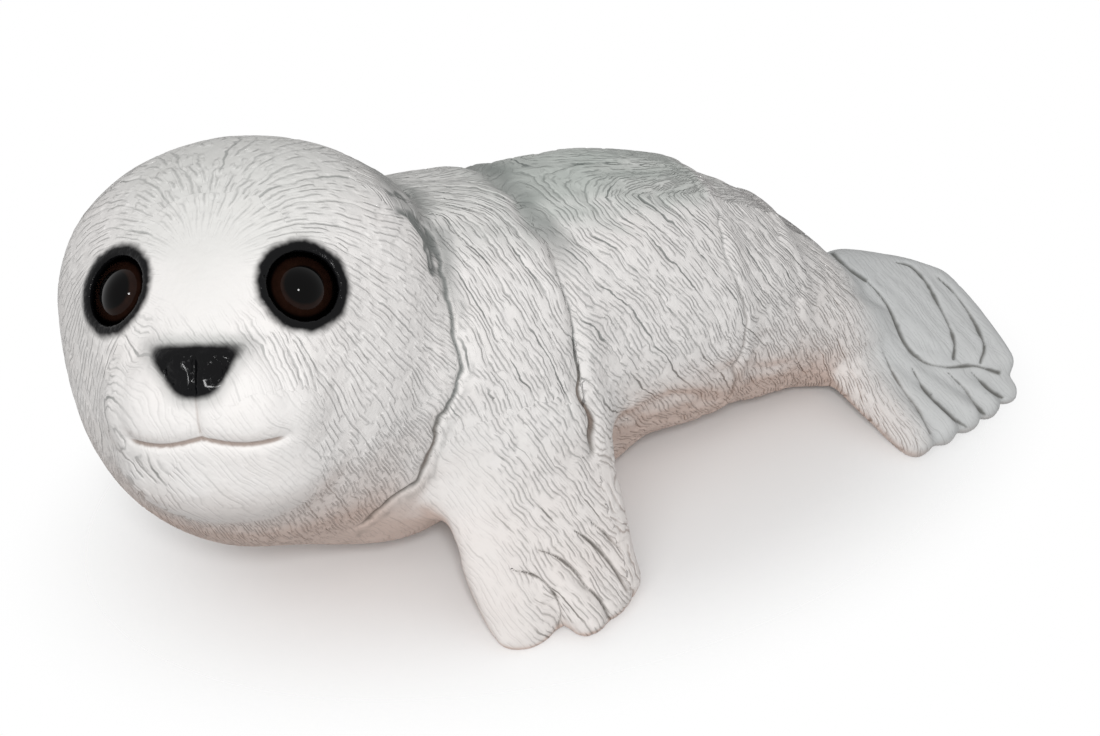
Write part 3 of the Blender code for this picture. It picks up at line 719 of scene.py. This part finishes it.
ragged = on_fore.largest(on_hind) + (resin.noise(2.5) - 0.5) * 0.7
is_fore = ragged.maths("GREATER_THAN", ragged, 0.5) * (1 - is_head)
is_torso = 1 - is_head.largest(is_fore)
hair_turn = spoke_turn * spokes * is_head + flat_across / HAIR_SPACING * is_fore
hair_turn = hair_turn + (resin.carried("across") + resin.noise(1.6, 1) * 0.4) / HAIR_SPACING * is_torso
spacing = spoke_reach * math.tau / spokes * is_head + (1 - is_head) * HAIR_SPACING


def gap_to_line(every):
    """How far in mm the nearest of every so many hairs is."""
    turn = hair_turn / every
    return (turn - turn.whole()).size() * spacing * every


loose = (1 - calm_share) * (1 - on_hind * 0.75)
hair_number = hair_turn.whole()
apart = resin.node("ShaderNodeCombineXYZ", None, hair_number * 0.0073, hair_number * 0.0041, 0.0)
own_place = resin.node("ShaderNodeVectorMath", {"operation": "ADD"}, resin.place, apart.outputs[0])
strength = resin.noise(4.5, 1, place=own_place.outputs[0]).ramp(0.40, 0.56)
hair_gap = gap_to_line(1)
lock_gap = gap_to_line(HAIRS_IN_A_LOCK)
fine_line = hair_gap.ramp(0.20, 0.03) * strength * loose
lock_line = lock_gap.ramp(0.24, 0.05) * resin.carried("broken") * loose
long_line = gap_to_line(2 * HAIRS_IN_A_LOCK).ramp(0.30, 0.08)
long_line = long_line * resin.noise(11, 2).ramp(0.44, 0.56) * loose
relief = hair_gap.ramp(0.0, 0.40) * strength * loose * HAIR_RELIEF
relief = relief + resin.noise(0.6, 2, 0.6) * PORE_RELIEF + resin.noise(1.7, 1) * SWELL_RELIEF
print("Single hairs stand", HAIR_RELIEF, "mm high")

# %% [markdown]
# ## Black nose and lids
#
# The nose is a rounded shape with slanting sides, an upper and a lower edge. Each is a length past a
# plane, and a smooth maximum rounds the corners where they meet. The paint round each eye is a ring
# about the eye's own axis. Noise on the lengths gives both the uneven edge of sprayed paint.

# %% Painted resin: black nose and lids
LID_EDGE, LID_END = 8.9, 10.9
PAINT_RELIEF = 0.4

rings = []
for side in (-1, 1):
    ragged_gap = resin.from_axis(*eye_place(side)) + (resin.noise(2.6) - 0.5) * 1.5
    rings.append(ragged_gap.ramp(LID_END, LID_EDGE) * in_front)

slope = left.size().maths("SMOOTH_MAX", left, left * -1, 2.0) * 0.85 - up * 0.527 - 8.7
nose = slope.maths("SMOOTH_MAX", slope, up + 0.6, 5.0)
nose = nose.maths("SMOOTH_MAX", nose, up * -1 - 10.8, 4.0)
nose_paint = (nose + (resin.noise(1.6) - 0.5) * 0.5).ramp(1.0, -0.5) * in_front
nose_halo = nose.ramp(3.2, 0.0) * in_front * 0.35
black = rings[0].largest(rings[1]).largest(nose_paint)
relief = relief + black * resin.noise(1.3, 2) * PAINT_RELIEF
print("Black paint reaches", LID_END, "mm from the middle of each eye")

# %% [markdown]
# ## Films, washes, painted shade and gloss
#
# Painted shade darkens the white: green on the top of the back, and pink where the surface is low or
# looks down, which is also a painted warm reflection. A thin film tints the hind flippers bluish. A wash
# then stays in everything that is cut, brown low down and grey above, and the folds, the hollows and
# the places behind the head and the shoulder are darkened further by painted shade.

# %% Painted resin: films, washes, painted shade and gloss
# The hollow and fold amounts are wash and painted shade together.
HAIR_STAIN, LONG_STAIN, HOLLOW_WASH_AND_SHADE, FOLD_WASH_AND_SHADE = 0.46, 0.75, 0.55, 0.85
MATT, BLACK_POLISH, VARNISH = 0.60, 0.42, 0.7

# Painted shade and a painted warm reflection: low is where the surface is low down or looks down; it tints
# the white pink and also turns the wash brown.
low = height.ramp(54, 14).largest(upward.ramp(0.05, -0.5))
# Painted shade: the upward-facing top of the back is darkened green.
top = upward.ramp(0.72, 1.0) * height.ramp(60, 80) * tailward.ramp(-28, -8, 0.35, 1.0)
mottle = (resin.noise(9, 3) - 0.5) * 0.4
# Painted shade and a painted warm reflection under the body.
underside_shade = upward.ramp(0.1, -0.6) * height.ramp(50, 30)
paint_and_shade = resin.mix(underside_shade + low * (on_head * 0.3 + 0.2) + mottle * 0.5, WHITE, PINK_SHADE_AND_REFLECTION)
paint_and_shade = resin.mix(top * (0.9 + mottle), paint_and_shade, GREEN_TOP_SHADE)
paint_and_shade = resin.mix(on_hind * 0.75, paint_and_shade, BLUISH_WHITE)
brown_fold = resin.carried("fold") * height.ramp(62, 40)
brown = low.largest(brown_fold) * (1 - on_fore * 0.7) * (1 - on_hind * 0.8)
wash_and_shade_colour = resin.mix(brown, GREY_WASH_AND_SHADE, BROWN_WASH_AND_SHADE)
# Wash and painted shade: hollows and folds are darkened, the folds most.
hollow_wash_and_shade = resin.carried("hollow").ramp(0.06, 0.9) * (1 - calm_share)
on_face = 1 - on_head * 0.45
wash_and_shade = (fine_line.largest(lock_line) * HAIR_STAIN).largest(long_line * LONG_STAIN) * on_face
wash_and_shade = wash_and_shade.largest(hollow_wash_and_shade * (HOLLOW_WASH_AND_SHADE - on_hind * 0.2))
wash_and_shade = wash_and_shade.largest(resin.carried("fold").ramp(0.1, 0.8) * FOLD_WASH_AND_SHADE)
# Painted shade behind the head and the shoulder.
wash_and_shade = wash_and_shade.largest(resin.carried("shade") * (mottle + 0.55))
paint_and_shade = resin.mix(wash_and_shade, paint_and_shade, wash_and_shade_colour)
paint_and_shade = resin.mix(resin.carried("mouth").ramp(0.3, 0.9) * 0.7, paint_and_shade, BROWN_WASH_AND_SHADE)
paint_and_shade = resin.mix(nose_halo, paint_and_shade, GREY_WASH_AND_SHADE)
resin.wear(
    Base_Color=resin.mix(black, paint_and_shade, VARNISHED_BLACK),
    Roughness=MATT - black * BLACK_POLISH,
    Coat_Weight=black * VARNISH,
    Normal=resin.bump(relief, 1.0),
)

pup = bpy.data.objects.new("pup_fur", skin)
bpy.context.scene.collection.objects.link(pup)
skin.materials.clear()
skin.materials.append(resin.material)
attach(pup, "root")
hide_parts("body")
print("The fur stands for the CAD body")

# %% [markdown]
# ## The glass eyes
#
# Each eye is a turned dome of glass over a brown iris and a black pupil. The outline is spun about the
# eye's axis with more steps than the CAD node has, so that reflections on it are smooth. In the
# photograph the flash shows as a spark near both pupils, as on a lens that curves more than the dome
# does. A bump whose height falls with the square of the distance from the axis adds that curve.

# %% Turned eyes
LENS_CURVE = 0.054
EYE_STEPS = 64
PUPIL_END, PUPIL_EDGE = 4.5, 3.7
# The dark rim at the edge of the eye is a limbal ring and painted shade of the lid.
RIM_SHADE_START, RIM_SHADE_END = 5.9, 6.6
IRIS_DARK, IRIS_LIGHT = (0.007, 0.003, 0.002, 1), (0.020, 0.008, 0.005, 1)
PUPIL_AND_RIM_SHADE_BLACK = (0.001, 0.0008, 0.0008, 1)


def eye_outline():
    """The eye's outline from the top of its dome to the middle of its back."""
    radius, corner = EYE_DIAMETER / 2, EYE_BACK * 0.4
    steps, corner_steps = 16, 4
    outline = []
    for step in range(steps + 1):
        angle = math.pi / 2 * step / steps
        outline.append((radius * math.sin(angle), EYE_DOME * math.cos(angle)))
    for step in range(corner_steps + 1):
        angle = math.pi / 2 * step / corner_steps
        outline.append((radius - corner * (1 - math.cos(angle)), corner * (1 - math.sin(angle)) - EYE_BACK))
    return outline + [(0, -EYE_BACK)]


def turned_eye(name, side):
    """The outline, spun about the eye's axis and set in its place."""
    bm = bmesh.new()
    verts = [bm.verts.new((x * MM, 0, z * MM)) for x, z in eye_outline()]
    edges = [bm.edges.new(pair) for pair in zip(verts[:-1], verts[1:])]
    bmesh.ops.spin(
        bm, geom=verts + edges, cent=(0, 0, 0), axis=(0, 0, 1),
        angle=math.tau, steps=EYE_STEPS, use_merge=True,
    )
    bmesh.ops.remove_doubles(bm, verts=bm.verts, dist=0.005 * MM)
    bmesh.ops.recalc_face_normals(bm, faces=bm.faces)
    centre, way = eye_place(side)
    turn = way.to_track_quat("Z", "Y").to_matrix().to_4x4()
    bmesh.ops.transform(bm, matrix=Matrix.Translation(centre) @ turn, verts=bm.verts)
    mesh = bpy.data.meshes.new(name)
    bm.to_mesh(mesh)
    bm.free()
    mesh.shade_smooth()
    obj = bpy.data.objects.new(name, mesh)
    bpy.context.scene.collection.objects.link(obj)
    return obj


def eye_finish(name, side):
    """Polished glass, with its pupil, iris and a dark rim of limbal ring and painted lid shade, by distance
    from the eye's axis.
    """
    glass = Finish(name, IOR=1.18, Roughness=0.0)
    gap = glass.from_axis(*eye_place(side))
    dark = gap.ramp(PUPIL_END, PUPIL_EDGE).largest(gap.ramp(RIM_SHADE_START, RIM_SHADE_END))
    iris = glass.mix(glass.noise(1.4), IRIS_DARK, IRIS_LIGHT)
    glass.wear(
        Base_Color=glass.mix(dark, iris, PUPIL_AND_RIM_SHADE_BLACK),
        Normal=glass.bump(gap * gap * -1, LENS_CURVE),
    )
    return glass.material


for side, name in ((1, "left_eye"), (-1, "right_eye")):
    eye = turned_eye(name + "_glass", side)
    eye.data.materials.append(eye_finish(name + "_glass", side))
    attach(eye, "root")
    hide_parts(name)
    print(eye.name, "has", len(eye.data.polygons), "faces")

# %% [markdown]
# ## Floor and light
#
# The photograph is cut out on white. A pale floor keeps the pup's soft shadow and fades away into the
# world. The world is white to the camera and in everything that is glossy or clear, but lights the
# pup with less than that, so that the lamps can model the fur. A large lamp over the camera shows the
# carving, and a small bright one beside the lens gives the round spark in each eye.

# %% Floor
FLOOR_RADIUS = 0.8
FLOOR_WHITE = (0.93, 0.93, 0.93, 1)
FADE_ASIDE, FADE_LENGTHWISE = 95, 145
FLOOR_MIDDLE = Vector((0, 2, 0)) * MM

ground = bmesh.new()
bmesh.ops.create_circle(ground, cap_ends=True, radius=FLOOR_RADIUS, segments=96)
floor_mesh = bpy.data.meshes.new("floor")
ground.to_mesh(floor_mesh)
ground.free()
floor = bpy.data.objects.new("floor", floor_mesh)
bpy.context.scene.collection.objects.link(floor)

pale = Finish("pale_floor", Roughness=0.9, Specular_IOR_Level=0.0)
pale.wear(Base_Color=FLOOR_WHITE)
aside = pale.along((1, 0, 0), FLOOR_MIDDLE) / FADE_ASIDE
lengthwise = pale.along((0, 1, 0), FLOOR_MIDDLE) / FADE_LENGTHWISE
edge = (aside * aside + lengthwise * lengthwise).root().ramp(0.55, 1.05)
clear = pale.node("ShaderNodeBsdfTransparent")
blend = pale.node("ShaderNodeMixShader", None, edge, pale.shader.outputs[0], clear.outputs[0])
pale.links.new(blend.outputs[0], pale.nodes["Material Output"].inputs["Surface"])
floor_mesh.materials.append(pale.material)
print("Floor of", 2 * FLOOR_RADIUS, "m across")

# %% World and lamps
WORLD_FILL = 0.46

world = bpy.data.worlds.new("studio")
world.use_nodes = True
bpy.context.scene.world = world
tree = world.node_tree
path = tree.nodes.new("ShaderNodeLightPath")
sky = tree.nodes["Background"]
seen = path.outputs["Is Camera Ray"]
for ray in ("Is Glossy Ray", "Is Transmission Ray"):
    either = tree.nodes.new("ShaderNodeMath")
    either.operation = "MAXIMUM"
    tree.links.new(seen, either.inputs[0])
    tree.links.new(path.outputs[ray], either.inputs[1])
    seen = either.outputs[0]
level = tree.nodes.new("ShaderNodeMapRange")
level.inputs["To Min"].default_value = WORLD_FILL
level.inputs["To Max"].default_value = 1.0
tree.links.new(seen, level.inputs["Value"])
tree.links.new(level.outputs[0], sky.inputs["Strength"])
sky.inputs["Color"].default_value = (1, 1, 1, 1)


def lamp(name, azimuth, elevation, distance, size, power, mirrored=True):
    """A round lamp that shines on the pup from a direction round it, in degrees."""
    a, e = math.radians(azimuth), math.radians(elevation)
    back = Vector((math.sin(a) * math.cos(e), -math.cos(a) * math.cos(e), math.sin(e)))
    data = bpy.data.lights.new(name, "AREA")
    data.shape, data.size, data.energy = "DISK", size, power
    made = bpy.data.objects.new(name, data)
    made.location = CAMERA_TARGET + back * distance
    made.rotation_mode = "QUATERNION"
    made.rotation_quaternion = (-back).to_track_quat("-Z", "Y")
    made.visible_glossy = mirrored
    bpy.context.scene.collection.objects.link(made)
    return made


lamp("soft_box", azimuth=50, elevation=38, distance=0.9, size=0.7, power=2.5, mirrored=False)
lamp("flash", azimuth=64, elevation=38, distance=0.5, size=0.06, power=0.82)
print("Two lamps")

bpy.context.scene.view_settings.view_transform = "Standard"
